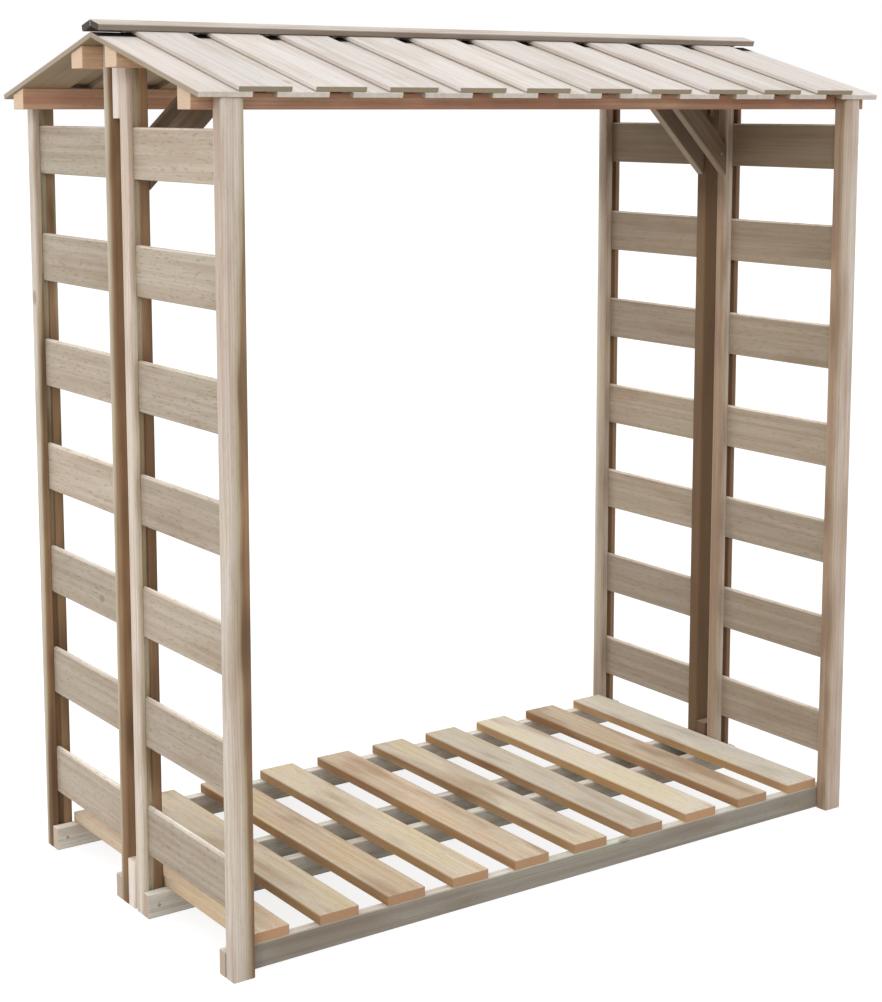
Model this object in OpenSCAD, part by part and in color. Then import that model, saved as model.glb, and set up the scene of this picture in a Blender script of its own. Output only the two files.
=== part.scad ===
// Log store: two open lean-to frames of grooved posts, set back to back under
// one gabled roof of two layers of boards. The ridge runs along X, the front
// faces -Y and the ground is z = 0. All sizes are millimetres.

/* [Overall] */
// Width over the outer faces of the side posts
frame_width = 1530; // [1300:10:1800]
// Depth over the faces of the front and rear posts
frame_depth = 810; // [700:10:960]
// Height from the ground to the top of the ridge cap
total_height = 1700; // [1500:10:1900]
// Slope of the roof in degrees
roof_slope = 15; // [10:1:20]
// How far the roof reaches past the side posts
end_overhang = 45; // [20:5:90]
// How far the roof reaches past the front and rear posts
eave_overhang = 10; // [5:1:40]

/* [Posts] */
// Size of a post along the ridge
post_width = 45; // [40:1:60]
// Size of a post from front to rear
post_depth = 30; // [26:1:45]
// Depth of the groove that takes the ends of the side slats
groove_depth = 10; // [6:1:12]
// Wood between the outer face of a post and its groove
groove_inset = 13; // [8:1:16]
// Gap between the two ridge posts of one side
ridge_gap = 36; // [30:1:50]

/* [Side slats] */
// Number of slats in one bay of a side
slat_count = 7; // [5:1:8]
// Height of a side slat
slat_height = 95; // [70:1:120]
// Thickness of a side slat
slat_thickness = 12; // [9:1:14]
// Room on each face of a slat in its groove
slat_play = 0.3; // [0.2:0.1:0.5]
// Height of the lowest slat above the ground
slat_clear_ground = 120; // [95:1:160]
// Room between the highest slat and the eave beam
slat_clear_eave = 32; // [10:1:60]

/* [Floor] */
// Thickness of a ground bearer
bearer_thickness = 22; // [18:1:40]
// Height of a ground bearer
bearer_height = 48; // [40:1:60]
// Number of floor slats
floor_count = 10; // [7:1:12]
// Width of a floor slat
floor_width = 85; // [70:1:95]
// Thickness of a floor slat
floor_thickness = 20; // [15:1:25]
// Room between the end floor slats and the posts
floor_play = 2.5; // [1:0.5:10]

/* [Roof frame] */
// Width of the eave and ridge beams
beam_width = 48; // [40:1:60]
// Height of a beam on its taller side
beam_height = 42; // [38:1:60]
// How far the beams stop short of the roof ends
beam_setback = 5; // [0:1:30]
// Width of a knee brace
brace_width = 48; // [36:1:60]
// Thickness of a knee brace
brace_thickness = 22; // [18:1:26]
// Drop of a brace from the ridge beam down its post
brace_drop = 223; // [160:1:280]
// Overlap of a brace on the back of the ridge beam
brace_lap = 28; // [15:1:35]
// Thickness of the spacer blocks between the ridge posts, less than their gap
spacer_thickness = 28; // [18:1:30]
// Height of the spacer blocks
spacer_height = 95; // [60:1:120]
// Drop of the upper spacer below the top of the ridge posts
spacer_drop = 38; // [20:1:80]

/* [Roof boards] */
// Number of boards in the lower layer of one slope
under_count = 11; // [9:1:12]
// Width of a roof board
board_width = 105; // [95:1:120]
// Thickness of a roof board
board_thickness = 10; // [8:1:14]
// Gap at the ridge between the boards of the two slopes
ridge_joint = 2; // [1:0.5:6]
// Width of a ridge cap board down the slope
cap_width = 30; // [20:1:90]
// Thickness of a ridge cap board
cap_thickness = 12; // [9:1:16]

/* [Hidden] */
FRONT = 0;
REAR = 1;
LEFT = 0;
RIGHT = 1;

roof_length = frame_width + 2 * end_overhang;
roof_depth = frame_depth + 2 * eave_overhang;
// Underside of the roof boards where the two slopes meet
apex = total_height - (2 * board_thickness + cap_thickness) / cos(roof_slope);

// Left and front faces that the pieces of one corner are set out from
post_out = -frame_width / 2;
post_in = post_out + post_width;
front_face = -frame_depth / 2;
front_back = front_face + post_depth;
ridge_back = -ridge_gap / 2;
ridge_face = ridge_back - post_depth;

groove_width = slat_thickness + 2 * slat_play;
beam_length = roof_length - 2 * beam_setback;
eave_beam_z = under(front_back + beam_width) - beam_height;
ridge_beam_z = under(ridge_face) - beam_height;
top_spacer_z = under(ridge_face) - spacer_drop - spacer_height;

slat_top = eave_beam_z - slat_clear_eave;
slat_pitch = (slat_top - slat_height - slat_clear_ground) / (slat_count - 1);
floor_start = post_in + floor_play;
floor_pitch = (-2 * floor_start - floor_width) / (floor_count - 1);
board_pitch = (roof_length - board_width) / (under_count - 1);
// Length of a roof board measured down the slope at the top of the upper layer
board_reach = (roof_depth / 2 - 2 * board_thickness * sin(roof_slope)) / cos(roof_slope);

FLOOR_SLATS = [for (i = [1 : floor_count]) str("floor_slat_", i)];

// Height of the underside of the roof boards at depth y
function under(y) = apex - abs(y) * tan(roof_slope);

// Point of the front slope, u down the slope from the apex and n above the underside
function slope_point(u, n) = [
    -(u * cos(roof_slope) + n * sin(roof_slope)),
    apex - u * sin(roof_slope) + n * cos(roof_slope)
];

// Point of the front slope on the plumb cut at the ridge, n above the underside
function ridge_point(n, joint) =
    slope_point((joint / 2 - n * sin(roof_slope)) / cos(roof_slope), n);

// Sets a front left piece at another corner
module corner(row, side) {
    mirror([side, 0, 0]) mirror([0, row, 0]) children();
}

// Draws a section of Y and Z along the ridge from x
module along_ridge(x, length) {
    translate([x, 0, 0]) rotate([90, 0, 90]) linear_extrude(length) children();
}

// Section from the height z up to the roof boards between two depths
module roof_fitted(y0, y1, z) {
    polygon([[y0, z], [y1, z], [y1, under(y1)], [y0, under(y0)]]);
}

// Post with its head cut to the slope and a groove for the slats at depth y
module grooved_post(y, groove_y) {
    color("#b9a78f") difference() {
        along_ridge(post_out, post_width) roof_fitted(y, y + post_depth, 0);
        translate([post_out + groove_inset, groove_y, 0])
            cube([groove_width, groove_depth, total_height]);
    }
}

module outer_post(row, side) {
    corner(row, side) grooved_post(front_face, front_back - groove_depth);
}

module ridge_post(row, side) {
    corner(row, side) grooved_post(ridge_face, ridge_face);
}

module bearer(row, y) {
    color("#b3a594") corner(row, LEFT) translate([post_out, y, 0])
        cube([frame_width, bearer_thickness, bearer_height]);
}

// Beam with its top planed to the slope
module beam(row, y, z) {
    color("#a3826b") corner(row, LEFT)
        along_ridge(-beam_length / 2, beam_length) roof_fitted(y, y + beam_width, z);
}

// Brace at 45 degrees, plumb against the ridge post and level at its head
module brace(row, side) {
    foot = ridge_beam_z - brace_drop;
    head = ridge_beam_z + brace_lap;
    cut = brace_width * sqrt(2);
    color("#8f7d68") corner(row, side)
        translate([post_in, ridge_face + brace_thickness, 0]) rotate([90, 0, 0])
            linear_extrude(brace_thickness) polygon([
                [0, foot], [head - foot, head],
                [head - foot - cut, head], [0, foot + cut]
            ]);
}

// Block fixed to the back of one ridge post, facing the other half
module spacer(row, side, z) {
    color("#cdbfa9") corner(row, side) translate([post_out, ridge_back, z])
        cube([post_width, spacer_thickness, spacer_height]);
}

// The slats of one bay, with their ends in the grooves of its two posts
module side_slats(row, side) {
    sunk = groove_depth - slat_play;
    color("#b5a894") corner(row, side) for (i = [0 : slat_count - 1])
        translate([
            post_out + groove_inset + slat_play,
            front_back - sunk,
            slat_clear_ground + i * slat_pitch
        ])
            cube([slat_thickness, ridge_face - front_back + 2 * sunk, slat_height]);
}

module floor_slat(i) {
    color("#c9ab88") translate([floor_start + i * floor_pitch, front_back, bearer_height])
        cube([floor_width, -2 * front_back, floor_thickness]);
}

// Section of a board that lies on the front slope with its underside at height n
module slope_section(n, thickness, reach, joint) {
    polygon([
        ridge_point(n, joint), slope_point(reach, n),
        slope_point(reach, n + thickness), ridge_point(n + thickness, joint)
    ]);
}

// One layer of roof boards, the first with its edge at x
module roof_boards(row, x, count, n) {
    color("#d9d3c7") corner(row, LEFT) for (i = [0 : count - 1])
        along_ridge(x + i * board_pitch, board_width)
            slope_section(n, board_thickness, board_reach, ridge_joint);
}

module under_boards(row) {
    roof_boards(row, -roof_length / 2, under_count, 0);
}

// The upper boards cover the gaps between the lower ones
module over_boards(row) {
    roof_boards(row, -roof_length / 2 + board_pitch / 2, under_count - 1, board_thickness);
}

module ridge_cap(row) {
    color("#cfc6b8") corner(row, LEFT) along_ridge(-roof_length / 2, roof_length)
        slope_section(2 * board_thickness, cap_thickness, cap_width, 0);
}

outer_post(FRONT, LEFT);  // front_left_post
outer_post(FRONT, RIGHT);  // front_right_post
outer_post(REAR, LEFT);  // rear_left_post
outer_post(REAR, RIGHT);  // rear_right_post
ridge_post(FRONT, LEFT);  // front_left_ridge_post
ridge_post(FRONT, RIGHT);  // front_right_ridge_post
ridge_post(REAR, LEFT);  // rear_left_ridge_post
ridge_post(REAR, RIGHT);  // rear_right_ridge_post
bearer(FRONT, front_back);  // front_bearer
bearer(FRONT, ridge_face - bearer_thickness);  // front_inner_bearer
bearer(REAR, ridge_face - bearer_thickness);  // rear_inner_bearer
bearer(REAR, front_back);  // rear_bearer
beam(FRONT, front_back, eave_beam_z);  // front_eave_beam
beam(REAR, front_back, eave_beam_z);  // rear_eave_beam
beam(FRONT, ridge_face - beam_width, ridge_beam_z);  // front_ridge_beam
beam(REAR, ridge_face - beam_width, ridge_beam_z);  // rear_ridge_beam
brace(FRONT, LEFT);  // front_left_brace
brace(FRONT, RIGHT);  // front_right_brace
brace(REAR, LEFT);  // rear_left_brace
brace(REAR, RIGHT);  // rear_right_brace
spacer(FRONT, LEFT, top_spacer_z);  // left_top_spacer
spacer(REAR, LEFT, 0);  // left_foot_spacer
spacer(FRONT, RIGHT, top_spacer_z);  // right_top_spacer
spacer(REAR, RIGHT, 0);  // right_foot_spacer
side_slats(FRONT, LEFT);  // front_left_slats
side_slats(FRONT, RIGHT);  // front_right_slats
side_slats(REAR, LEFT);  // rear_left_slats
side_slats(REAR, RIGHT);  // rear_right_slats
for (i = [0 : floor_count - 1])
    floor_slat(i);
under_boards(FRONT);  // front_under_boards
under_boards(REAR);  // rear_under_boards
over_boards(FRONT);  // front_over_boards
over_boards(REAR);  // rear_over_boards
ridge_cap(FRONT);  // front_ridge_cap
ridge_cap(REAR);  // rear_ridge_cap
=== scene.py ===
# %% [markdown]
# # A log store in treated pine
# The object is an open store for firewood: two frames of grooved posts stand back to back, slats sit in the
# grooves, and two layers of boards make the roof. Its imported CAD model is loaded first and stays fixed. Every
# solid in it is then stood for by a timber with eased edges and its own grain, in the same place.

# %% Load the frame
import math

import bpy
import numpy as np
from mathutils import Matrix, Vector


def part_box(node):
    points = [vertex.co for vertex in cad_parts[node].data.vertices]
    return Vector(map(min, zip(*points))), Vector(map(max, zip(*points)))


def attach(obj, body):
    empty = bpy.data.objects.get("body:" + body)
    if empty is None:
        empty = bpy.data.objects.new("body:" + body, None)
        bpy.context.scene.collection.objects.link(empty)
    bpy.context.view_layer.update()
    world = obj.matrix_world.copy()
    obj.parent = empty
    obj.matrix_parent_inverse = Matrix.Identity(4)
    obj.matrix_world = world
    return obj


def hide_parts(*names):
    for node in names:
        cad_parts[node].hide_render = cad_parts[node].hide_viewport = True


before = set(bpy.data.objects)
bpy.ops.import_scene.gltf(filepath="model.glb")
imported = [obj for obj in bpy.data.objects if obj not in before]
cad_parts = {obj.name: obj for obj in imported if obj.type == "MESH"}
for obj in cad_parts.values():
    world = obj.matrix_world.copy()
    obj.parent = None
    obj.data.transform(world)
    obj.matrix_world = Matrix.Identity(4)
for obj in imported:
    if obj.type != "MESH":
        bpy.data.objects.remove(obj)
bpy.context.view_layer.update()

# %% [markdown]
# ## The camera
# The photograph looks down a little from the front left. The place and the lens were worked out from the
# corners of posts, bearers and roof. Part of the look downwards is a lens shift, which keeps the posts nearly
# upright.

# %% Camera
PHOTO_HEIGHT = 1002
FOCAL_PIXELS = 1928.0
SENSOR = 36.0  # mm
CAMERA_PLACE = (-2.3201, -3.2726, 1.5402)  # m
CAMERA_YAW, CAMERA_PITCH = 0.6098, 0.1355  # radians to the right and down
LENS_SHIFT = -0.13  # of the picture's longer side

camera_data = bpy.data.cameras.new("camera")
camera_data.sensor_width = SENSOR
camera_data.lens = FOCAL_PIXELS / PHOTO_HEIGHT * SENSOR
camera_data.shift_y = LENS_SHIFT
camera = bpy.data.objects.new("camera", camera_data)
camera.location = CAMERA_PLACE
looking = Vector((
    math.sin(CAMERA_YAW) * math.cos(CAMERA_PITCH),
    math.cos(CAMERA_YAW) * math.cos(CAMERA_PITCH),
    -math.sin(CAMERA_PITCH),
))
camera.rotation_euler = looking.to_track_quat("-Z", "Y").to_euler()
bpy.context.scene.collection.objects.link(camera)
bpy.context.scene.camera = camera
print(f"lens {camera_data.lens:.1f} mm, {math.degrees(CAMERA_YAW):.1f} degrees from square on")

# %% [markdown]
# ## Setting out
# A joiner takes sizes off the work instead of guessing them. Each solid's box is mirrored to the front left
# corner, so one rule serves all four corners. The roof slope comes from the heads of two posts.

# %% Set out from the solids
MM = 0.001
X, Y, Z = np.eye(3)
ROWS, SIDES = ("front", "rear"), ("left", "right")
CORNERS = [(row, side) for row in ROWS for side in SIDES]
OFF_CENTRE = 1.0  # mm past the middle, from where a solid counts as right or rear


def box_mm(name):
    """Lowest and highest corner of a solid, in mm."""
    return (np.array(corner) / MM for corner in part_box(name))


def corner_box(name, sides=True):
    """Box of a solid in mm, mirrored to the front left corner, and the signs of the mirror."""
    low, high = box_mm(name)
    right, rear, _ = (low + high) / 2 > OFF_CENTRE
    signs = np.array([-1.0 if sides and right else 1.0, -1.0 if rear else 1.0, 1.0])
    ends = np.stack([low * signs, high * signs])
    return ends.min(0), ends.max(0), signs


def spread(first, last, width, count):
    """Middles of pieces of one width, spread evenly between two ends."""
    return np.linspace(first, last - width, count) + width / 2


_, outer_high, _ = corner_box("front_left_post")
_, ridge_high, _ = corner_box("front_left_ridge_post")
FALL = (ridge_high[2] - outer_high[2]) / (ridge_high[1] - outer_high[1])
APEX = ridge_high[2] - FALL * ridge_high[1]
SLOPE = math.atan(FALL)
COS, SIN = math.cos(SLOPE), math.sin(SLOPE)
print(f"roof slope {math.degrees(SLOPE):.2f} degrees, underside at the ridge {APEX:.1f} mm")

# %% [markdown]
# ## A timber
# Planed pine has eased edges: the plane leaves a small round on every long corner, and the saw leaves the
# ends nearly sharp. A cube with a bevel would do for one block, but not for grooves, sloping heads and
# mitres. So a timber is a section carried along its length between two cut planes. Each point also keeps its
# place in the board, along, across and through it, which later lets the grain run through the wood and out
# at the ends.

# %% Section of a timber
CORNER_STEPS = 4


def eased(corners, ease):
    """Rounds the corners of a section: each corner becomes the quadratic curve from a point
    `ease` before it, bent towards the corner, to a point `ease` after it."""
    corners = np.asarray(corners, float)
    before, after = np.roll(corners, 1, 0) - corners, np.roll(corners, -1, 0) - corners
    ease = np.broadcast_to(ease, len(corners))[:, None]
    first = corners + before / np.linalg.norm(before, axis=1, keepdims=True) * ease
    last = corners + after / np.linalg.norm(after, axis=1, keepdims=True) * ease
    s = np.linspace(0, 1, CORNER_STEPS + 1)[None, :, None]
    curve = (1 - s) ** 2 * first[:, None] + 2 * s * (1 - s) * corners[:, None] + s**2 * last[:, None]
    return curve.reshape(-1, 2)


def drawn_in(corners, distance):
    """Moves every side of a section inwards: each corner goes along the sum of its sides' normals."""
    corners = np.asarray(corners, float)
    side = np.roll(corners, -1, 0) - corners
    side /= np.linalg.norm(side, axis=1, keepdims=True)
    after = np.stack([-side[:, 1], side[:, 0]], 1)
    before = np.roll(after, 1, 0)
    return corners + distance * (before + after) / (1 + (before * after).sum(1, keepdims=True))


def rectangle(width, height):
    """Corners of a section about its middle, turning anticlockwise. Its sides are 0 below, 1 on the plus
    side, 2 above and 3 on the minus side."""
    return np.array([[-1, -1], [1, -1], [1, 1], [-1, 1]]) * np.array([width, height]) / 2


print("the corners of a section are rounded in", CORNER_STEPS, "steps")

# %% Timber between two cuts
END_EASE, LEAST_EASE = 0.8, 0.3  # mm, how far the ends are drawn in, and the least round on them
LONG_STATIONS = 14  # along a post, bearer, beam or cap
NO_HEART = -30.0  # mm, a radius that leaves a board without heartwood
# Where the pith lies outside a board: to either side, over its width, and away from it, over its thickness
PITH_ASIDE, PITH_NEAR, PITH_SPREAD = 1.2, 0.9, 1.3


def timber(rng, corners, axes, origin, start, stop, ease, stations, bow=0.6, signs=(1, 1, 1),
           pith=None, look=None, end=1.0, shade_tone=None, pale_and_lit=None):
    """A section with points (a, b) carried along an axis. The station u runs from 0 to 1 and sits at
    t = (1 - u) * start(a, b) + u * stop(a, b), where each cut is a plane: t = c0 + c1 * a + c2 * b.
    The point is origin + t * along + a * across + b * through, with a bow of 4u(1 - u) sideways.
    The first and last stations are drawn in a little, so the ends are eased too. `pith` is the radius of
    the heartwood and its middle, once or at even steps along the board. `look` is how light, warm and
    brown-hearted the board is, and the tone of a face says how far it is a sawn end, a side painted darker
    as shade, or a paler side, which is painted light on some pieces and greyed wood on others."""
    along, across, through = axes
    full = eased(corners, ease)
    small = eased(drawn_in(corners, END_EASE), np.maximum(ease - END_EASE, LEAST_EASE))
    count = len(full)
    start, stop = np.asarray(start, float), np.asarray(stop, float)
    length = stop[0] - start[0]
    inner = np.linspace(END_EASE / length, 1 - END_EASE / length, stations)
    u = np.concatenate([[0], inner, [1]])[:, None]
    section = np.stack([small] + [full] * stations + [small])
    flat = np.concatenate([np.ones(section.shape[:2] + (1,)), section], 2)
    t = (1 - u) * (flat @ start) + u * (flat @ stop)
    sway = rng.uniform(-bow, bow, 2) * 4 * (u * (1 - u))
    a, b = section[..., 0] + sway[:, :1], section[..., 1] + sway[:, 1:]
    points = origin + t[..., None] * along + a[..., None] * across + b[..., None] * through
    points = points.reshape(-1, 3) * np.asarray(signs, float)

    # Faces along the sides and at both ends, turned round where the timber is mirrored
    i, k = np.meshgrid(np.arange(stations + 1) * count, np.arange(count), indexing="ij")
    k2 = (k + 1) % count
    quads = np.stack([i + k, i + k2, i + count + k2, i + count + k], 2).reshape(-1, 4)
    caps = np.stack([np.arange(count)[::-1], np.arange(count) + (stations + 1) * count])
    if np.prod(signs) < 0:
        quads, caps = quads[:, ::-1], caps[:, ::-1]

    # Tone of each side, and on the round between two sides their mean
    rounded = np.arange(count) % (CORNER_STEPS + 1) != CORNER_STEPS
    by_side = np.zeros((len(corners), 3))
    for column, amounts in ((1, shade_tone or {}), (2, pale_and_lit or {})):
        by_side[list(amounts), column] = list(amounts.values())
    tone = np.repeat((by_side + np.roll(by_side, 1, 0)) / 2, CORNER_STEPS + 1, 0)
    tone[~rounded] = by_side

    # The board's own cut from the log
    chance = rng.uniform(0, 1, 7)
    aside, away, which_side, light = chance[3:]
    if pith is None:
        width, thickness = np.ptp(full, axis=0)
        outside = (PITH_NEAR + PITH_SPREAD * away) * thickness * np.sign(which_side - 0.5)
        pith = (NO_HEART, (aside - 0.5) * PITH_ASIDE * width, outside)
    if look is None:
        look = (light, 0.5, 1)
    hearts = np.atleast_2d(pith) * MM
    heart = [np.interp(u[:, 0], np.linspace(0, 1, len(hearts)), column) for column in hearts.T]
    return {
        "points": points * MM,
        "faces": quads.tolist() + caps.tolist(),
        "smooth": np.tile(rounded, stations + 1).tolist() + [False, False],
        "tone": np.concatenate([np.tile(tone, (stations + 1, 1)), [[end, 0, 0]] * 2]),
        "grain": np.stack([t, section[..., 0], section[..., 1]], 2).reshape(-1, 3) * MM,
        "pith": np.repeat(np.stack(heart, 1), count, 0),
        "board": np.tile(chance[:3], (len(points), 1)),
        "look": np.tile(look, (len(points), 1)),
    }


print("sawn ends are drawn in by", END_EASE, "mm")

# %% Put timbers into one piece
KEPT = ("grain", "board", "pith", "look", "tone")
by_slot = {}


def new_piece(name, points, faces, smooth):
    """Makes a mesh object from arrays and lets it ride on the frame."""
    mesh = bpy.data.meshes.new(name)
    mesh.from_pydata(points, [], faces)
    mesh.polygons.foreach_set("use_smooth", smooth)
    piece = bpy.data.objects.new(name, mesh)
    bpy.context.scene.collection.objects.link(piece)
    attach(piece, "root")
    return piece


def join(name, timbers, slot):
    """Joins timbers into one piece that stands for a solid, and keeps their grain as attributes."""
    counts = np.cumsum([0] + [len(wood["points"]) for wood in timbers])
    faces = [[v + first for v in face] for wood, first in zip(timbers, counts) for face in wood["faces"]]
    points = np.concatenate([wood["points"] for wood in timbers]).tolist()
    piece = new_piece(name + "_timber", points, faces, sum((wood["smooth"] for wood in timbers), []))
    for key in KEPT:
        domain = "FACE" if key == "tone" else "POINT"
        values = np.concatenate([wood[key] for wood in timbers]).astype(np.float32)
        piece.data.attributes.new(key, "FLOAT_VECTOR", domain).data.foreach_set("vector", values.ravel())
    piece.data.update()
    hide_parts(name)
    by_slot.setdefault(slot, []).append(piece)


def draws(name):
    """A row of random numbers that belongs to one piece, the same at each run."""
    return np.random.default_rng(list(name.encode()))


print("each timber keeps its", ", ".join(KEPT))

# %% [markdown]
# ## Posts
# Each post is planed, with a groove down the face that looks into its bay and a head cut to the roof slope.
# The groove is part of the section, so it runs the whole length as a cutter would leave it. The posts come
# from near the middle of the log, so most have a brown side. Where that side lies is set for each one. On the
# right the grooves and the strips outside them are painted dark brown as shade.

# %% Posts
POST_EASE, GROOVE_EASE = 4.5, 0.7
GROOVE_INSET, GROOVE_WIDTH, GROOVE_DEPTH = 13.0, 12.6, 10.0
# Radius of the brown heartwood and its middle, once or at even steps from foot to head, in mm from the middle
# of the section: first along the store, where + is inwards, then across it, where + is towards the ridge.
# Last comes the look: how light, how warm and how brown the heart is, each from 0 to 1. A warmth below 0
# keeps the heart free of russet.
POST_HEARTS = {
    "front_left_post": ((22, 37, -20), (32, 35, -20), (33, 35, -20), (12, 38, -20), (0.6, 0.4, 0.9)),
    "front_right_post": ((26, 40, 8), (0.5, 0.8, 0.5)),
    "rear_left_post": ((36, -6, 30), (24, 8, 38), (0.5, 0.2, 1.0)),
    "rear_right_post": ((24, 22, 22), (0.25, 0.4, 0.35)),
    "front_left_ridge_post": ((25, 12, -34), (1.0, 0.3, 1.0)),
    "front_right_ridge_post": ((20, 31, 6), (23, 31, 4), (14, 31, 8), (0.0, 0.8, 0.5)),
    "rear_left_ridge_post": ((29, -12, 20), (20, -6, 19), (0.6, 0.2, 1.0)),
    "rear_right_ridge_post": ((45, 20, 8), (0.1, -0.5, 1.0)),
}


def post(name, groove_ahead):
    """A grooved section carried up from the ground to the plane of the roof boards."""
    low, high, signs = corner_box(name)
    middle = (low + high) / 2
    (x0, y0), (x1, y1) = (low - middle)[:2], (high - middle)[:2]
    g0, g1 = x0 + GROOVE_INSET, x0 + GROOVE_INSET + GROOVE_WIDTH
    if groove_ahead:
        d = y0 + GROOVE_DEPTH
        corners = [(x0, y0), (g0, y0), (g0, d), (g1, d), (g1, y0), (x1, y0), (x1, y1), (x0, y1)]
        ease = [POST_EASE] + [GROOVE_EASE] * 4 + [POST_EASE] * 3
        grooved = range(4)
    else:
        d = y1 - GROOVE_DEPTH
        corners = [(x0, y0), (x1, y0), (x1, y1), (g1, y1), (g1, d), (g0, d), (g0, y1), (x0, y1)]
        ease = [POST_EASE] * 3 + [GROOVE_EASE] * 4 + [POST_EASE]
        grooved = range(3, 7)
    head = APEX + middle[1] * FALL
    *pith, look = POST_HEARTS[name]
    # On the right-hand posts the groove faces get the darker side colour, as painted shade.
    shaded_groove_sides = dict.fromkeys(grooved, 1.0) if "right" in name else None
    wood = timber(draws(name), corners, (Z, X, Y), middle * (1, 1, 0), (0, 0, 0), (head, 0, FALL),
                  ease=np.array(ease), stations=LONG_STATIONS, signs=signs, pith=pith, look=look,
                  shade_tone=shaded_groove_sides)
    join(name, [wood], "post")


for row, side in CORNERS:
    post(f"{row}_{side}_post", groove_ahead=False)
    post(f"{row}_{side}_ridge_post", groove_ahead=True)
print(len(POST_HEARTS), "posts with grooves, heads cut to the slope")

# %% [markdown]
# ## Bearers and spacers
# Four bearers lie on the ground along the rows of posts, and small blocks keep the two ridge posts of a side
# apart. Both are plain planed lengths, so the rectangle section is enough. The bearers are greyed wood, and
# their tops and every side but the outer faces of the front and rear bearers are painted paler as light. The
# spacers on the left are pale sapwood, and those on the right are coloured brown all through.

# %% Bearers
BEARERS = ["front_bearer", "front_inner_bearer", "rear_inner_bearer", "rear_bearer"]
INNER_SIDE_LIGHT = 0.7  # how far a side is painted pale, as painted light
for name in BEARERS:
    low, high, signs = corner_box(name)
    size, middle = high - low, (low + high) / 2
    # Tops and inner sides are painted paler, as painted light.
    painted_light_sides = {1: INNER_SIDE_LIGHT, 2: 1, 3: INNER_SIDE_LIGHT if "inner" in name else 0}
    wood = timber(draws(name), rectangle(size[1], size[2]), (X, Y, Z), middle * (0, 1, 1), (low[0], 0, 0),
                  (high[0], 0, 0), ease=2.5, stations=LONG_STATIONS, signs=signs, pale_and_lit=painted_light_sides)
    join(name, [wood], "bearer")
print(len(BEARERS), "bearers")

# %% Spacers
SPACERS = [f"{side}_{place}_spacer" for side in SIDES for place in ("top", "foot")]
ALL_BROWN = {"pith": (60, 0, 0), "look": (0.3, 0.1, 1)}
for name in SPACERS:
    low, high, signs = corner_box(name)
    size, middle = high - low, (low + high) / 2
    # The right-hand spacers are coloured brown all through.
    brown = ALL_BROWN if "right" in name else {}
    wood = timber(draws(name), rectangle(size[0], size[1]), (Z, X, Y), middle * (1, 1, 0), (low[2], 0, 0),
                  (high[2], 0, 0), ease=4.0, stations=4, bow=0, signs=signs, end=0.3, **brown)
    join(name, [wood], "spacer")
print(len(SPACERS), "spacers")

# %% [markdown]
# ## Beams and braces
# A beam's top is planed to the roof slope, so its section has a sloping side. A brace is cut plumb where it
# meets its post and level at its head: the two cut planes of a timber give that mitre directly.

# %% Beams
# How light and how warm each beam is
BEAM_LOOKS = {
    "front_eave_beam": (0.5, 0.9),
    "rear_eave_beam": (0.7, 0.5),
    "front_ridge_beam": (0.7, 0.2),
    "rear_ridge_beam": (0.7, 0.0),
}
for name, look in BEAM_LOOKS.items():
    low, high, signs = corner_box(name)
    y0, y1, z0 = low[1], high[1], low[2]
    corners = np.array([(y0, z0), (y1, z0), (y1, APEX + y1 * FALL), (y0, APEX + y0 * FALL)])
    middle = corners.mean(0)
    # The underside is painted darker as shade.
    wood = timber(draws(name), corners - middle, (X, Y, Z), np.array([0, *middle]), (low[0], 0, 0),
                  (high[0], 0, 0), ease=3.0, stations=LONG_STATIONS, bow=0.3, signs=signs,
                  look=(*look, 1), end=0.9, shade_tone={0: 0.6})
    join(name, [wood], "beam")
print(len(BEAM_LOOKS), "beams planed to the slope")

# %% Braces
BRACE_WIDTH = 48.0
BRACE_SCREWS = (20.0, 28.0)  # mm along the brace, from its foot and from its head
ROOT_2 = math.sqrt(2)
UPWARD, LEANING = (X + Z) / ROOT_2, (Z - X) / ROOT_2
brace_heads = []
for row, side in CORNERS:
    name = f"{row}_{side}_brace"
    low, high, signs = corner_box(name)
    plumb = BRACE_WIDTH * ROOT_2
    place = np.array([low[0], (low[1] + high[1]) / 2, low[2] + plumb / 2])
    rise = (high[2] - place[2]) * ROOT_2
    # Both broad faces are painted darker as shade under the roof.
    wood = timber(draws(name), rectangle(BRACE_WIDTH, high[1] - low[1]), (UPWARD, LEANING, -Y), place,
                  (0, 1, 0), (rise, -1, 0), ease=2.5, stations=6, bow=0, signs=signs, shade_tone={0: 1, 2: 1})
    join(name, [wood], "brace")
    brace_heads += [(place + t * UPWARD) * signs for t in (BRACE_SCREWS[0], rise - BRACE_SCREWS[1])]
print(len(CORNERS), "braces at 45 degrees")

# %% [markdown]
# ## Side slats and floor slats
# Seven slats fill each side bay, let into the grooves. Ten wider slats make the floor. No two lengths of pine
# are quite alike, so each slat gets its own small bow and its own cut from the log. The inner faces and lower
# edges of the side slats are painted darker as shade, most of all under the roof, and their top edges are
# painted near white as light.

# %% Side slats
SLAT_HEIGHT, SLAT_EASE = 95.0, np.array([1.6, 3.2, 3.2, 1.6])
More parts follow.
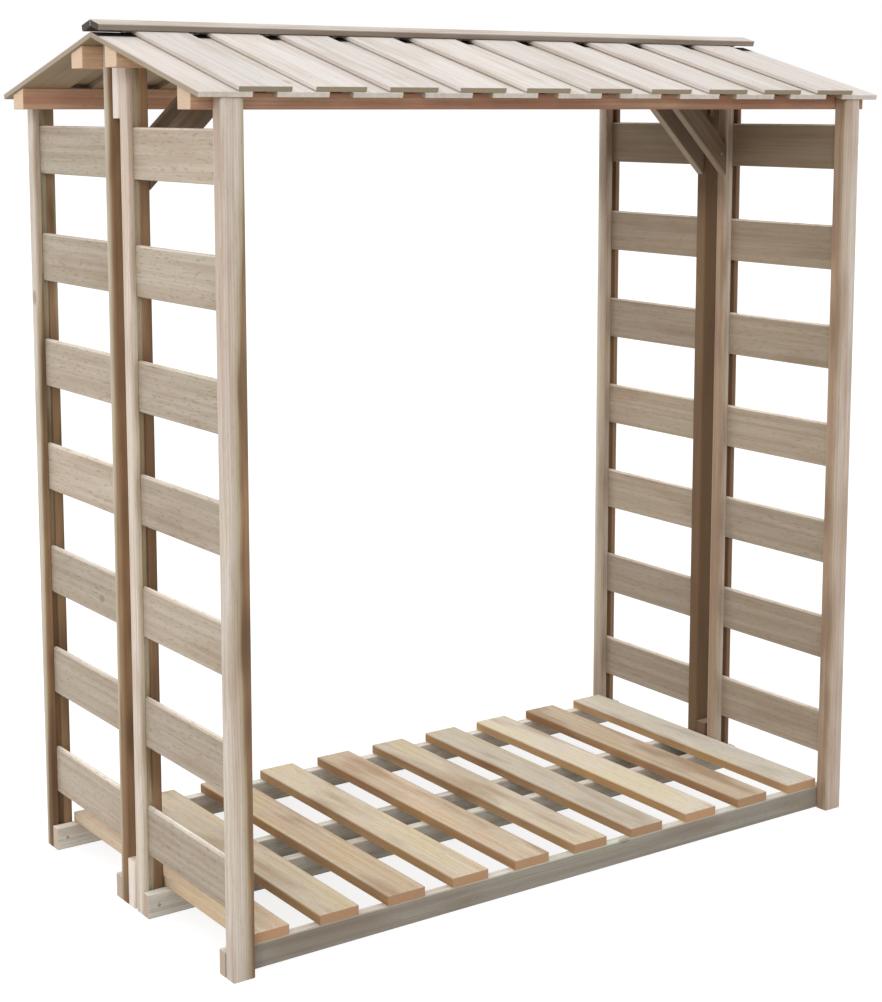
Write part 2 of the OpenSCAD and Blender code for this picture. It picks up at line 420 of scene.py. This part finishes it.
# How far the inner face of each slat is painted darker as shade, from the lowest up; its lower edge gets half
SLAT_INNER_SHADE = [0.45, 0.45, 0.45, 0.5, 0.6, 0.82, 1.0]
for row, side in CORNERS:
    name = f"{row}_{side}_slats"
    low, high, signs = corner_box(name)
    rng = draws(name)
    section = rectangle(SLAT_HEIGHT, high[0] - low[0])
    # Inner face and lower edge carry painted shade, and the top edge painted light.
    woods = [
        timber(rng, section, (Y, Z, X), np.array([(low[0] + high[0]) / 2, 0, z]), (low[1], 0, 0),
               (high[1], 0, 0), ease=SLAT_EASE, stations=6, bow=0.2, signs=signs,
               shade_tone={2: brown, 3: brown / 2}, pale_and_lit={1: 1})
        for z, brown in zip(spread(low[2], high[2], SLAT_HEIGHT, len(SLAT_INNER_SHADE)), SLAT_INNER_SHADE)
    ]
    join(name, woods, "side_slat")
print(len(CORNERS) * len(SLAT_INNER_SHADE), "side slats")

# %% Floor slats
# How light, how warm and how greyed each floor slat is, from the left
FLOOR_LOOKS = [
    (0.9, 0.7, 0), (0.5, 0.2, 0), (0.4, 0.8, 0), (0.6, 0.1, 0), (0.6, 0.6, 0), (0.4, 0.2, 0.1),
    (0.2, 0.1, 0.4), (0.9, 0.1, 0.5), (0.3, 0.7, 0), (0.8, 0.0, 0.8),
]
for number, (light, warm, grey) in enumerate(FLOOR_LOOKS, 1):
    name = f"floor_slat_{number}"
    low, high = box_mm(name)
    size, middle = high - low, (low + high) / 2
    # The long sides that face another slat are painted darker, as shade in the gaps.
    shaded_gap_sides = {1: number < len(FLOOR_LOOKS), 3: number > 1}
    wood = timber(draws(name), rectangle(size[0], size[2]), (Y, X, -Z), middle * (1, 0, 1), (low[1], 0, 0),
                  (high[1], 0, 0), ease=2.2, stations=10, bow=0.3, look=(light, warm, 1),
                  shade_tone=shaded_gap_sides, pale_and_lit={0: grey})
    join(name, [wood], "floor_slat")
print(len(FLOOR_LOOKS), "floor slats")

# %% [markdown]
# ## Roof boards and ridge cap
# The roof is two layers of boards. The upper ones cover the gaps of the lower ones. All are cut plumb at the
# ridge and square at the eave. Two boards mitred along the ridge close the top.

# %% Roof boards
BOARD_WIDTH, BOARD_THICKNESS, RIDGE_JOINT = 105.0, 10.0, 2.0
BOARD_EASE = 1.2
UNEVEN = (-2.5, 0.5)  # mm, how far the boards' ends at the eave are out of line
DOWN = -COS * Y - SIN * Z
OUT = -SIN * Y + COS * Z
APEX_PLACE = np.array([0, 0, APEX])
# Number of boards, height of their underside, how dark their sawn ends are, how far their long sides are
# painted darker as shade, and how far their lower edges are eased
LAYERS = {"under": (11, 0.0, 0.15, 0.8, BOARD_EASE), "over": (10, BOARD_THICKNESS, 1.0, 0.0, 3.2)}


def plumb_cut(n):
    """Cut plane at the ridge for a section whose middle lies n above the underside of the boards."""
    return ((RIDGE_JOINT / 2 - n * SIN) / COS, 0, -FALL)


for row in ROWS:
    for layer, (count, under_side, end, side_shade, ease) in LAYERS.items():
        name = f"{row}_{layer}_boards"
        low, high, signs = corner_box(name, sides=False)
        rng = draws(name)
        section = rectangle(BOARD_WIDTH, BOARD_THICKNESS)
        n = under_side + BOARD_THICKNESS / 2
        reach = (-low[1] - (under_side + BOARD_THICKNESS) * SIN) / COS
        # Undersides, and the long sides of the lower boards, are painted darker as shade.
        woods = [
            timber(rng, section, (DOWN, X, OUT), APEX_PLACE + x * X + n * OUT, plumb_cut(n),
                   (reach + rng.uniform(*UNEVEN), 0, 0), ease=np.array([ease, ease, BOARD_EASE, BOARD_EASE]),
                   stations=8, bow=0.25, signs=signs, end=end, shade_tone={0: 1, 1: side_shade, 3: side_shade})
            for x in spread(low[0], high[0], BOARD_WIDTH, count)
        ]
        join(name, woods, "roof_board")
print(len(ROWS) * sum(count for count, *_ in LAYERS.values()), "roof boards in two layers")

# %% Ridge cap
for row in ROWS:
    name = f"{row}_ridge_cap"
    low, high, signs = corner_box(name, sides=False)
    under = 2 * BOARD_THICKNESS
    thick = (high[2] - APEX) * COS - under
    width = (-low[1] - (under + thick) * SIN) / COS
    n = np.array([under, under + thick])
    foot, rise, top = -width * COS - n * SIN, APEX - width * SIN + n * COS, APEX + n / COS
    corners = np.array([(foot[0], rise[0]), (0, top[0]), (0, top[1]), (foot[1], rise[1])])
    middle = corners.mean(0)
    # The underside and the lower edge are painted darker as shade.
    wood = timber(draws(name), corners - middle, (X, Y, Z), np.array([0, *middle]), (low[0], 0, 0),
                  (high[0], 0, 0), ease=1.5, stations=LONG_STATIONS, bow=0, signs=signs,
                  shade_tone={0: 1, 3: 0.66})
    join(name, [wood], "ridge_cap")
print(f"a cap of {len(ROWS)} boards, each {width:.0f} mm wide and {thick:.0f} mm thick")

# %% [markdown]
# ## Fixings
# Thin boards are held by small nails, set flush with the wood. Bearers and braces are screwed. Each head is a
# profile turned about its axis, with only a few dozen faces, and all the heads of a kind are one mesh.

# %% Heads of nails and screws
HEAD_SIDES = 10
# Radius and height of each ring as a share of the head's radius, from inside the wood to the dish in the
# middle
HEAD_PROFILE = np.array([(1.0, -0.4), (1.0, 0.06), (0.82, 0.16), (0.36, 0.12), (0.28, -0.06)])
ALONG_X = 0.9  # share of x in a normal, from where z and not x helps to find the direction across


def heads(name, places, normal, radius):
    """A profile turned about each place: the ring j has radius r_j and height h_j, and its point i is
    place + r_j * (cos(i) * across + sin(i) * through) + h_j * normal. A normal may differ for each place."""
    places = np.asarray(places, float)
    normal = np.broadcast_to(normal, places.shape)
    across = np.cross(normal, np.where(np.abs(normal[:, :1]) < ALONG_X, X, Z))
    across /= np.linalg.norm(across, axis=1, keepdims=True)
    through = np.cross(normal, across)
    turn = np.linspace(0, 2 * np.pi, HEAD_SIDES, endpoint=False)
    round_about = np.cos(turn)[:, None] * across[:, None] + np.sin(turn)[:, None] * through[:, None]
    r, h = (HEAD_PROFILE * radius).T
    rings = r[:, None, None] * round_about[:, None]
    heights = (h[:, None] * normal[:, None])[:, :, None]
    points = places[:, None, None] + rings + heights
    ring, i = np.meshgrid(np.arange(len(r) - 1) * HEAD_SIDES, np.arange(HEAD_SIDES), indexing="ij")
    i2 = (i + 1) % HEAD_SIDES
    quads = np.stack([ring + i, ring + i2, ring + HEAD_SIDES + i2, ring + HEAD_SIDES + i], 2).reshape(-1, 4)
    caps = np.stack([np.arange(HEAD_SIDES)[::-1], np.arange(HEAD_SIDES) + (len(r) - 1) * HEAD_SIDES])
    step = np.arange(len(places))[:, None, None] * len(r) * HEAD_SIDES
    faces = (quads + step).reshape(-1, 4).tolist() + (caps + step).reshape(-1, HEAD_SIDES).tolist()
    return new_piece(name, (points.reshape(-1, 3) * MM).tolist(), faces, [False] * len(faces))


print("a head has", len(HEAD_PROFILE), "rings of", HEAD_SIDES, "points")

# %% Nails
NAIL_RADIUS = 1.2
floor_places, roof_places, roof_normals = [], [], []
for number in range(1, len(FLOOR_LOOKS) + 1):
    low, high = box_mm(f"floor_slat_{number}")
    for bearer in BEARERS:
        y = np.mean(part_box(bearer), 0)[1] / MM
        floor_places += [(low[0] + share * (high[0] - low[0]), y, high[2]) for share in (0.25, 0.75)]

for row in ROWS:
    low, high, signs = corner_box(f"{row}_over_boards", sides=False)
    middles = spread(low[0], high[0], BOARD_WIDTH, LAYERS["over"][0])
    n = 2 * BOARD_THICKNESS
    for beam in ("eave", "ridge"):
        beam_low, beam_high, _ = corner_box(f"{row}_{beam}_beam")
        t = (-(beam_low + beam_high)[1] / 2 - n * SIN) / COS
        for x in np.concatenate([middles - BOARD_WIDTH / 4, middles + BOARD_WIDTH / 4]):
            roof_places.append((APEX_PLACE + x * X + t * DOWN + n * OUT) * signs)
            roof_normals.append(OUT * signs)
fixings = [
    heads("floor_nails", floor_places, Z, NAIL_RADIUS),
    heads("roof_nails", roof_places, np.array(roof_normals), NAIL_RADIUS),
]
print(len(floor_places) + len(roof_places), "nails")

# %% Screws
SCREW_RADIUS = 3.5
screw_places, screw_normals = [], []
post_low, post_high, _ = corner_box("front_left_post")
post_middle = (post_low + post_high)[0] / 2
for name in BEARERS:
    low, high, signs = corner_box(name)
    y, bay_side = (low[1], -Y) if "inner" in name else (high[1], Y)
    for x in (-post_middle, post_middle):
        screw_places.append(np.array([x, y, (low[2] + high[2]) / 2]) * signs)
        screw_normals.append(bay_side * signs)

brace_low, _, _ = corner_box("front_left_brace")
for place in brace_heads:
    outwards = np.sign(place[1])
    place[1] = outwards * abs(brace_low[1])
    screw_places.append(place)
    screw_normals.append(outwards * Y)
fixings.append(heads("screws", screw_places, np.array(screw_normals), SCREW_RADIUS))
print(len(screw_places), "screws")

# %% [markdown]
# ## Colour and nodes
# Colours are written as they look on a screen and turned to linear light by one function. One small function
# adds a node with its settings and links, so that a material below reads as a list of what it does.

# %% Colour and node helpers
# Sockets of the Mix node when it mixes colours
FACTOR, FIRST, SECOND, MIXED = 0, 6, 7, 2
# Sockets of the Map Range node: a value, where the change starts and is full, and the least and most it gives
VALUE, START, FULL, LEAST, MOST = range(5)
COLOURS = {"data_type": "RGBA"}
SMOOTH = {"interpolation_type": "SMOOTHSTEP"}
ADD, SUBTRACT, TIMES, TIMES_PLUS, DIVIDE, FRACTION, ABOVE, LENGTH, SCALE = (
    {"operation": kind} for kind in
    ("ADD", "SUBTRACT", "MULTIPLY", "MULTIPLY_ADD", "DIVIDE", "FRACT", "GREATER_THAN", "LENGTH", "SCALE")
)


def linear(code):
    """Turns an sRGB hex colour into linear light: c / 12.92 near black, else ((c + 0.055) / 1.055) ** 2.4."""
    c = np.array([int(code[i:i + 2], 16) for i in (1, 3, 5)]) / 255
    return (*np.where(c <= 0.04045, c / 12.92, ((c + 0.055) / 1.055) ** 2.4).tolist(), 1.0)


def add(tree, kind, settings=None, inputs=None, output=0):
    """Adds a node and gives one of its outputs. An input is a value to set, or a socket to link from."""
    made = tree.nodes.new("ShaderNode" + kind)
    for key, value in (settings or {}).items():
        setattr(made, key, value)
    for key, value in (inputs or {}).items():
        if isinstance(value, bpy.types.NodeSocket):
            tree.links.new(value, made.inputs[key])
        else:
            made.inputs[key].default_value = value
    return made.outputs[output] if len(made.outputs) else made


def new_tree(owner):
    """An empty node tree of a material or a world."""
    owner.use_nodes = True
    owner.node_tree.nodes.clear()
    return owner.node_tree


print(f"a mid grey, #808080, is {linear('#808080')[0]:.3f} in linear light")

# %% [markdown]
# ## Pressure-treated pine
# Pine is sawn from a round log. Its growth rings are circles about the pith, so they show as lines along the
# faces and as arcs at the ends. Sapwood outside is pale, and heartwood near the pith is brown. The treatment
# adds faint olive and pink clouds. A picture of wood would repeat and break at the edges, so the colour is
# worked out in the board's own space, from the distance to the pith.

# %% What pine shows
RING_WIDTH = 5.5  # mm, real rings are 2 to 4 mm and would not show
LATE_WOOD = 0.35  # share of a ring after which it darkens
WAVER = 16.0  # mm, how far the rings wander along a board
RAGGED = 12.0  # mm, how far the edge of the heartwood wanders
HEART_EDGE = 7.0  # mm, over which sapwood turns to heartwood
OLIVE_EDGE = 16.0  # mm of olive sapwood round the heartwood, where the treatment took most
OLIVE, OLIVE_SHARE = "#9a8b5c", 0.7
RUSSET, RUSSET_CLOUDS = "#a07f5f", 3.0  # how far the clouds turn the heartwood from brown to russet
STAIN = "#dcd0c2"  # tint of the duller patches on white
CAP_SHADOW_COLOUR, CAP_SHADOW_EDGE = "#241d1a", 4.0  # colour of the painted shadow under the ridge cap, and mm over which it fades
CAP_SHADOW_ABOVE = 4.5  # mm above the middle of a board, so that only its top gets the painted shadow
KNOT = (130.0, 80.0)  # mm between knots, along and across, before most are left out
KNOT_CHANCE, KNOT_SHARE = 0.88, 0.5
WARM_PULL = 0.3  # how far a warm board widens its warm streaks
END_RINGS = 0.12  # how far the rings darken a sawn end
# Size along the grain and across it in mm, and detail. Fibres are drawn coarser than real ones so that they
# show.
PATTERNS = {"streak": (700, 11, 3), "cloud": (260, 55, 2), "fibre": (140, 3.2, 3), "fleck": (20, 4.0, 2)}
OWN_PLACE = (9, 9, 9)  # m, how far the patterns of two boards may lie apart
# Where in its pattern, from 0 to 1, each mark starts and is full
WARM_RANGE = {START: 0.48, FULL: 0.86}
BLUSH_RANGE = {START: 0.46, FULL: 0.7}
STAIN_RANGE = {START: 0.54, FULL: 0.3}
FLECK_RANGE = {START: 0.55, FULL: 0.7}
KNOT_RANGE = {START: 0.09, FULL: 0.15}
FIBRE_RANGE = {START: 0.3, FULL: 0.7}
# How far fibres change the shade, the height and the roughness
FIBRE_SHADE = {LEAST: 0.93, MOST: 1.05}
FIBRE_HEIGHT = {"Strength": 0.35, "Distance": 0.0006}
FIBRE_ROUGHNESS = {LEAST: 0.72, MOST: 0.88}
LATE_HEIGHT = 0.5  # height of late wood over that of fibres
print("rings of", RING_WIDTH, "mm and fibres of", PATTERNS["fibre"][1], "mm")


# %% Treated pine
def treated_pine(name, sap, warm, blush, heart, end, shade_tone=None, pale_and_lit=None, fleck=0.2, ring=0.16, cloud=0.6,
                 vary=0.12, cap_shadow=0.0):
    """Planed pine: dull, fibrous, streaked along the grain and darker where the saw cut across it. The warm
    streaks and the blush of the clouds are tints, worked out as their colour over that of the sapwood. The
    heartwood of a warm board is russet. Some faces are painted darker as shade, and some paler, which is
    painted light on some pieces and greyed wood on others. Near the ridge, under the cap, the top of a board
    is painted near black as shadow, over a given number of mm."""
    material = bpy.data.materials.new(name)
    tree = new_tree(material)
    grain, board, pith, look, tone = (
        add(tree, "Attribute", {"attribute_name": key}, output="Vector") for key in KEPT
    )
    light, warmth, brown = add(tree, "SeparateXYZ", None, {0: look}).node.outputs
    sawn, shade_share, pale_and_lit_share = add(tree, "SeparateXYZ", None, {0: tone}).node.outputs
    heart_radius = add(tree, "SeparateXYZ", None, {0: pith})

    # Patterns, each stretched along the grain and moved to a place of its own for each board
    own = add(tree, "VectorMath", TIMES_PLUS, {0: board, 1: OWN_PLACE, 2: grain})
    pattern = {}
    for key, (along, across, detail) in PATTERNS.items():
        scale = (1 / along / MM, 1 / across / MM, 1 / across / MM)
        place = add(tree, "VectorMath", TIMES, {0: own, 1: scale})
        pattern[key] = add(tree, "TexNoise", None, {"Vector": place, "Scale": 1.0, "Detail": detail})

    # Growth rings about the pith
    aside = add(tree, "VectorMath", SUBTRACT, {0: grain, 1: pith})
    aside = add(tree, "VectorMath", TIMES, {0: aside, 1: (0, 1, 1)})
    radius = add(tree, "VectorMath", LENGTH, {0: aside}, "Value")
    waver = add(tree, "Math", SUBTRACT, {0: pattern["cloud"], 1: 0.5})
    radius = add(tree, "Math", TIMES_PLUS, {0: waver, 1: WAVER * MM, 2: radius})
    phase = add(tree, "Math", DIVIDE, {0: radius, 1: RING_WIDTH * MM})
    phase = add(tree, "Math", FRACTION, {0: phase})
    late_wood = add(tree, "MapRange", SMOOTH, {VALUE: phase, START: LATE_WOOD, FULL: 1.0})

    # Brown heartwood with a ragged edge, and the olive band round it
    streaky = add(tree, "Math", SUBTRACT, {0: pattern["streak"], 1: 0.5})
    ragged = add(tree, "Math", TIMES_PLUS, {0: streaky, 1: RAGGED * MM, 2: radius})
    inside = add(tree, "Math", SUBTRACT, {0: heart_radius, 1: ragged})
    edge = HEART_EDGE / 2 * MM
    heart_wood = add(tree, "MapRange", SMOOTH, {VALUE: inside, START: -edge, FULL: edge, MOST: brown})
    olive_wood = add(tree, "MapRange", SMOOTH,
                     {VALUE: inside, START: -OLIVE_EDGE * MM, FULL: 0.0, MOST: brown})
    olive_wood = add(tree, "Math", TIMES, {0: olive_wood, 1: OLIVE_SHARE})
    russet_part = add(tree, "Math", TIMES_PLUS, {0: waver, 1: RUSSET_CLOUDS, 2: warmth})
    core = add(tree, "Mix", COLOURS,
               {FACTOR: russet_part, FIRST: linear(heart), SECOND: linear(RUSSET)}, MIXED)

    # A few knots: spots about scattered points, most of them left out
    scale = (1 / KNOT[0] / MM, 1 / KNOT[1] / MM, 1 / KNOT[1] / MM)
    place = add(tree, "VectorMath", TIMES, {0: own, 1: scale})
    spots = add(tree, "TexVoronoi", None, {"Vector": place, "Scale": 1.0}).node.outputs
    chosen = add(tree, "Math", ABOVE, {0: spots["Color"], 1: KNOT_CHANCE})
    knots = add(tree, "MapRange", SMOOTH, {VALUE: spots["Distance"], **KNOT_RANGE, LEAST: chosen, MOST: 0.0})

    # How much of each tone shows
    warm_streak = add(tree, "Math", TIMES_PLUS, {0: warmth, 1: WARM_PULL, 2: pattern["streak"]})
    warm_part = add(tree, "MapRange", SMOOTH, {VALUE: warm_streak, **WARM_RANGE})
    blush_part = add(tree, "MapRange", SMOOTH, {VALUE: pattern["cloud"], **BLUSH_RANGE, MOST: cloud})
    stain_part = add(tree, "MapRange", SMOOTH, {VALUE: pattern["cloud"], **STAIN_RANGE, MOST: cloud})
    fleck_part = add(tree, "MapRange", SMOOTH, {VALUE: pattern["fleck"], **FLECK_RANGE, MOST: fleck})
    ring_part = add(tree, "Math", TIMES, {0: late_wood, 1: ring})
    knot_part = add(tree, "Math", TIMES, {0: knots, 1: KNOT_SHARE})
    end_part = add(tree, "Math", TIMES, {0: late_wood, 1: END_RINGS})

    # The tones one over another, then the sawn ends, the painted shadow under the cap and the fibres
    warm_tint, blush_tint = (np.divide(linear(layer), linear(sap)).tolist() for layer in (warm, blush))
    # Painted shade on some faces first, then the paler tone: painted light on some pieces, greyed wood on
    # others.
    layers = [("MIX", shade_share, linear(shade_tone))] if shade_tone else []
    layers += [("MIX", pale_and_lit_share, linear(pale_and_lit))] if pale_and_lit else []
    layers += [
        ("MIX", olive_wood, linear(OLIVE)),
        ("MIX", heart_wood, core),
        ("MULTIPLY", warm_part, warm_tint),
        ("MULTIPLY", blush_part, blush_tint),
        ("MULTIPLY", stain_part, linear(STAIN)),
        ("MIX", ring_part, linear(heart)),
        ("MIX", fleck_part, linear(heart)),
        ("MIX", knot_part, linear(heart)),
    ]
    colour = linear(sap)
    for blend, part, layer in layers:
        colour = add(tree, "Mix", {**COLOURS, "blend_type": blend},
                     {FACTOR: part, FIRST: colour, SECOND: layer}, MIXED)
    cut = add(tree, "Mix", COLOURS, {FACTOR: end_part, FIRST: linear(end), SECOND: linear(heart)}, MIXED)
    colour = add(tree, "Mix", COLOURS, {FACTOR: sawn, FIRST: colour, SECOND: cut}, MIXED)
    if cap_shadow:
        # Painted shadow: near the ridge, under the cap, the top of a board is darkened almost to black.
        from_end, _, from_middle = add(tree, "SeparateXYZ", None, {0: grain}).node.outputs
        top = add(tree, "Math", ABOVE, {0: from_middle, 1: CAP_SHADOW_ABOVE * MM})
        cap_shadow_part = add(tree, "MapRange", None,
                        {VALUE: from_end, START: cap_shadow * MM, FULL: (cap_shadow - CAP_SHADOW_EDGE) * MM, MOST: top})
        colour = add(tree, "Mix", COLOURS, {FACTOR: cap_shadow_part, FIRST: colour, SECOND: linear(CAP_SHADOW_COLOUR)}, MIXED)
    fibres = add(tree, "MapRange", None, {VALUE: pattern["fibre"], **FIBRE_RANGE, **FIBRE_SHADE})
    shade = add(tree, "MapRange", None, {VALUE: light, LEAST: 1 - vary, MOST: 1 + vary})
    shade = add(tree, "Math", TIMES, {0: shade, 1: fibres})
    colour = add(tree, "VectorMath", SCALE, {0: colour, "Scale": shade})

    # Fibres and late wood stand up a little, and the planed surface is dull
    height = add(tree, "Math", TIMES_PLUS, {0: late_wood, 1: LATE_HEIGHT, 2: pattern["fibre"]})
    bump = add(tree, "Bump", None, {**FIBRE_HEIGHT, "Height": height})
    rough = add(tree, "MapRange", None, {VALUE: pattern["fibre"], **FIBRE_RANGE, **FIBRE_ROUGHNESS})
    shader = add(tree, "BsdfPrincipled", None,
                 {"Base Color": colour, "Roughness": rough, "IOR": 1.5, "Normal": bump})
    add(tree, "OutputMaterial", None, {0: shader})
    return material


print("treated pine takes its colour from", len(PATTERNS), "patterns, rings and knots")

# %% Finishes of the pieces
FINISHES = {
    # The posts' darker side colour is painted shade in the grooves on the right.
    "post": treated_pine(
        "planed_pine_posts", sap="#d6cdc3", warm="#c4afa1", blush="#d1c8b6", heart="#6e5439",
        end="#b39a86", shade_tone="#86694f", fleck=0.12),
    # The bearers' pale colour is painted light on their tops and inner sides.
    "bearer": treated_pine(
        "planed_pine_bearers", sap="#9d968c", warm="#8f867c", blush="#979684", heart="#6a6152",
        end="#bfaa98", pale_and_lit="#e6e1d8"),
    "spacer": treated_pine(
        "planed_pine_spacers", sap="#f0e6e0", warm="#e6d5ca", blush="#eee4d4", heart="#6e5540",
        end="#d3c0ae", fleck=0.06, ring=0.04),
    # The beams' darker side colour is painted shade on their undersides.
    "beam": treated_pine(
        "planed_pine_beams", sap="#cfae90", warm="#b78872", blush="#d2ae88", heart="#8a644c",
        end="#dac0a6", shade_tone="#94705a"),
    # The braces' colours are darker than the other pine's, as painted shade under the roof.
    "brace": treated_pine(
        "planed_pine_braces", sap="#a08f7d", warm="#8c7a67", blush="#9a8e79", heart="#66533e",
        end="#a08a72", shade_tone="#857361"),
    # The slats' darker colour is painted shade on inner faces and lower edges, and the near-white one painted
    # light on top edges.
    "side_slat": treated_pine(
        "sawn_pine_slats", sap="#bdb0a1", warm="#ae9e8c", blush="#b9af9a", heart="#75634e",
        end="#a8947c", shade_tone="#837360", pale_and_lit="#fbf2e6", fleck=0.36, ring=0.06, cloud=0.45),
    # The floor's darker colour is painted shade in the gaps between slats; its paler colour is greyed wood on
    # the tops.
    "floor_slat": treated_pine(
        "planed_pine_floor", sap="#d2c6b1", warm="#c9b198", blush="#d2c3a2", heart="#8c7050",
        end="#b08a69", shade_tone="#a98760", pale_and_lit="#d3cec4", ring=0.12, cloud=1.0, vary=0.16),
    # The roof's darker side colour is painted shade on undersides and the lower boards' long sides, and the
    # near-black at the ridge is painted shadow under the cap.
    "roof_board": treated_pine(
        "planed_pine_roof", sap="#dedad4", warm="#d6ccc5", blush="#e0d3cf", heart="#a8957f",
        end="#948770", shade_tone="#94836a", fleck=0.08, ring=0.05, cloud=0.4, vary=0.06, cap_shadow=34),
    # The cap's darker side colour is painted shade on its underside and lower edge.
    "ridge_cap": treated_pine(
        "planed_pine_cap", sap="#e0d9cf", warm="#d2c5b9", blush="#ddd1c8", heart="#95806c",
        end="#2e2a28", shade_tone="#5c493b"),
}
for slot, finish in FINISHES.items():
    for piece in by_slot[slot]:
        piece.data.materials.append(finish)
print(len(FINISHES), "finishes of treated pine")

# %% [markdown]
# ## Zinc-plated steel
# Nails and screws are plated and a little dulled. The plating is a grey metal with small crystals, which show
# as patches of different gloss.

# %% Zinc-plated steel
CRYSTAL = 1.2  # mm
DARK_ZINC, PALE_ZINC = "#86817a", "#a09b93"
ZINC_ROUGHNESS = {LEAST: 0.5, MOST: 0.7}
steel = bpy.data.materials.new("zinc_plated_steel")
tree = new_tree(steel)
place = add(tree, "TexCoord", output="Object")
crystals = add(tree, "TexVoronoi", None, {"Vector": place, "Scale": 1 / CRYSTAL / MM}, "Color")
gloss = add(tree, "MapRange", None, {VALUE: crystals, **ZINC_ROUGHNESS})
tint = add(tree, "Mix", COLOURS,
           {FACTOR: crystals, FIRST: linear(DARK_ZINC), SECOND: linear(PALE_ZINC)}, MIXED)
shader = add(tree, "BsdfPrincipled", None, {"Base Color": tint, "Metallic": 1.0, "Roughness": gloss})
add(tree, "OutputMaterial", None, {0: shader})
for piece in fixings:
    piece.data.materials.append(steel)
print(len(fixings), "sets of fixings in", steel.name)

# %% [markdown]
# ## Floor and light
# The photograph is a bright cut-out on white. A pale floor catches the shadow and the sky is brightest
# overhead. One wide soft lamp stands in front, above and to the left. A weak one stands behind, and a very
# weak one hangs under the roof, because the floor slats there are brighter than the sky alone would leave
# them. To the camera the floor and the sky are white by their own colour, so the lamps stay at a plain level.

# %% Floor
FLOOR_REACH, FLOOR_DROP = 60.0, 0.0005  # m, and how far it lies below the feet
WHITE = (1, 1, 1, 1)
PAPER_GLOW = 0.8  # on lit paper this makes white, and in the shadow a little less
EITHER = {**ADD, "use_clamp": True}
floor_mesh = bpy.data.meshes.new("floor")
floor_corners = rectangle(2 * FLOOR_REACH, 2 * FLOOR_REACH)
floor_points = [(x, y, -FLOOR_DROP) for x, y in floor_corners.tolist()]
floor_mesh.from_pydata(floor_points, [], [(0, 1, 2, 3)])
floor = bpy.data.objects.new("floor", floor_mesh)
bpy.context.scene.collection.objects.link(floor)
paper = bpy.data.materials.new("white_paper_floor")
tree = new_tree(paper)
rays = add(tree, "LightPath").node.outputs
seen = add(tree, "Math", EITHER, {0: rays["Is Camera Ray"], 1: rays["Is Glossy Ray"]})
shadowed = add(tree, "BsdfDiffuse", None, {"Color": linear("#999999")})
glow = add(tree, "Emission", None, {"Color": WHITE, "Strength": PAPER_GLOW})
bright = add(tree, "AddShader", None, {0: shadowed, 1: glow})
dull = add(tree, "BsdfDiffuse", None, {"Color": linear("#d2cfc9")})
add(tree, "OutputMaterial", None, {0: add(tree, "MixShader", None, {0: seen, 1: dull, 2: bright})})
floor_mesh.materials.append(paper)
print("floor of", 2 * FLOOR_REACH, "m")

# %% Sky
SKY = {LEAST: 0.3, MOST: 1.4}  # at the horizon and overhead
world = bpy.data.worlds.new("studio")
bpy.context.scene.world = world
tree = new_tree(world)
rays = add(tree, "LightPath").node.outputs
seen = add(tree, "Math", EITHER, {0: rays["Is Camera Ray"], 1: rays["Is Glossy Ray"]})
seen = add(tree, "Math", EITHER, {0: seen, 1: rays["Is Transmission Ray"]})
upward = add(tree, "SeparateXYZ", None, {0: add(tree, "TexCoord", output="Generated")}, "Z")
overhead = add(tree, "MapRange", None, {VALUE: upward, **SKY})
strength = add(tree, "MapRange", None, {VALUE: seen, LEAST: overhead, MOST: 1.0})
sky = add(tree, "Background", None, {"Color": WHITE, "Strength": strength})
add(tree, "OutputWorld", None, {0: sky})
print("white sky, brightest overhead")

# %% Lamps
MIDDLE = (0, 0, 0.9)
# Place, target, width and height in m, and power in W
LAMPS = {
    "key": ((-18, -18, 10.7), MIDDLE, 10.7, 10.7, 2000),
    "fill": ((-3.5, 5.0, 2.4), MIDDLE, 3.5, 3.5, 80),
    "under_roof": ((0, 0, 1.36), (0, 0, 0), 1.3, 0.7, 3),
}
for name, (place, target, width, height, watts) in LAMPS.items():
    lamp_data = bpy.data.lights.new(name, "AREA")
    lamp_data.shape = "RECTANGLE"
    lamp_data.size, lamp_data.size_y, lamp_data.energy = width, height, watts
    lamp = bpy.data.objects.new(name, lamp_data)
    lamp.location = place
    lamp.rotation_euler = (Vector(target) - Vector(place)).to_track_quat("-Z", "Y").to_euler()
    bpy.context.scene.collection.objects.link(lamp)
bpy.context.scene.view_settings.view_transform = "Standard"
print(len(LAMPS), "soft lamps")
